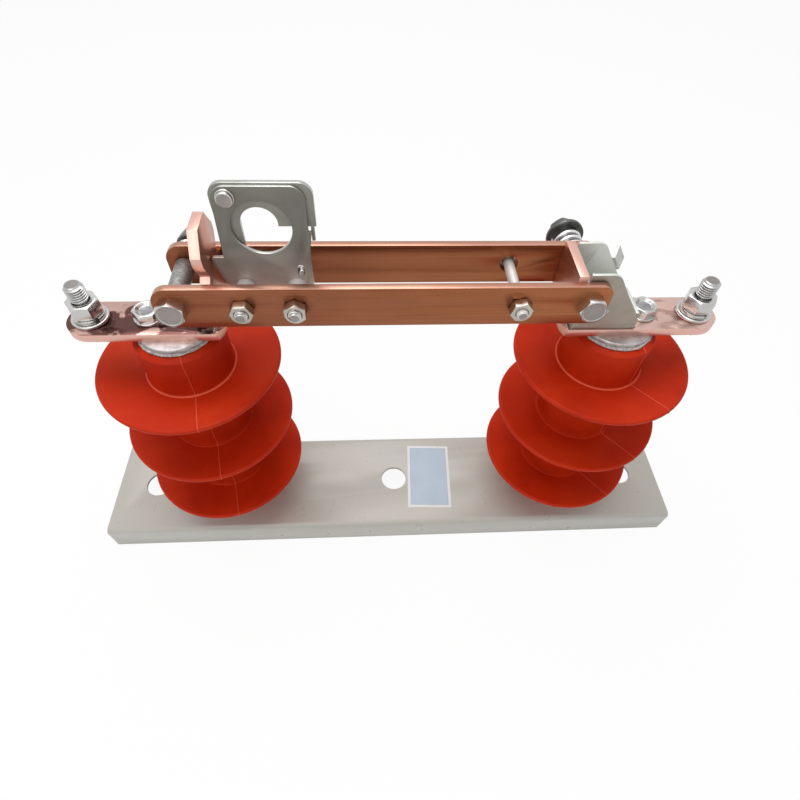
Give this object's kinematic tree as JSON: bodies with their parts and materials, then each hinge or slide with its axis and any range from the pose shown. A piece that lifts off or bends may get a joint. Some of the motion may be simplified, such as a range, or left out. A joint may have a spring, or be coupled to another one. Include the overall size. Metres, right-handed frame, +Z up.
{
  "type": "single-pole knife-blade disconnector",
  "caption": "Knife-blade disconnector: two ribbed insulators on a steel channel, bent copper terminals, and a pair of copper blades that swing up from a hinge.",
  "frame": {"origin": "centre of the base on the surface that it stands on", "axes": "+Z up; +X along the base towards the hinge end; +Y to the back"},
  "size_m": [0.55, 0.1312, 0.3558],
  "materials": {
    "base_paint": "satin",
    "insulator_red": "satin",
    "copper": "satin",
    "insert_steel": "satin",
    "dark_steel": "satin",
    "zinc_sheet": "satin",
    "zinc_fastener": "satin"
  },
  "bodies": {
    "base": {"base_channel": "base_paint", "insulator_left": "insulator_red", "insulator_right": "insulator_red", "insulator_cap_left": "insert_steel", "insulator_cap_right": "insert_steel", "insulator_foot_left": "insert_steel", "insulator_foot_right": "insert_steel", "foot_bolt_left": "zinc_fastener", "foot_bolt_right": "zinc_fastener", "fixed_contact": "copper", "hinge_contact": "copper", "hinge_bracket": "zinc_sheet", "cap_washers_left": "zinc_fastener", "cap_washers_right": "zinc_fastener", "cap_bolts_left": "zinc_fastener", "cap_bolts_right": "zinc_fastener", "terminal_bolt_left": "zinc_fastener", "terminal_bolt_right": "zinc_fastener", "terminal_washer_left": "zinc_fastener", "terminal_washer_right": "zinc_fastener", "terminal_lock_washer_left": "zinc_fastener", "terminal_lock_washer_right": "zinc_fastener", "terminal_nut_left": "zinc_fastener", "terminal_nut_right": "zinc_fastener"},
    "blades": {"blade_front": "copper", "blade_back": "copper", "hinge_bolt": "zinc_fastener", "hinge_inner_washer": "zinc_fastener", "hinge_outer_washer": "dark_steel", "hinge_nut": "dark_steel", "hinge_spring": "zinc_fastener", "contact_bolt": "zinc_fastener", "contact_inner_washer": "zinc_fastener", "contact_outer_washer": "dark_steel", "contact_nut": "dark_steel", "contact_spring": "zinc_fastener", "contact_sleeve": "dark_steel", "pull_plate": "zinc_sheet", "pull_plate_rivets": "zinc_sheet", "pull_plate_sleeves": "zinc_fastener", "pull_plate_bolts": "zinc_fastener", "pull_plate_nuts": "zinc_fastener", "tie_rod": "zinc_fastener", "tie_rod_nuts": "zinc_fastener"},
    "latch": {"latch_lever": "zinc_sheet"}
  },
  "joints": [
    {"name": "blade_swing", "type": "hinge", "parent": "base", "child": "blades", "pos_m": [0.1179, 0, 0.2875], "axis": [0, 1, 0], "range_deg": [0, 105]},
    {"name": "latch_swing", "type": "hinge", "parent": "blades", "child": "latch", "pos_m": [-0.0981, 0, 0.3492], "axis": [0, -1, 0], "range_deg": [0, 8]}
  ]
}
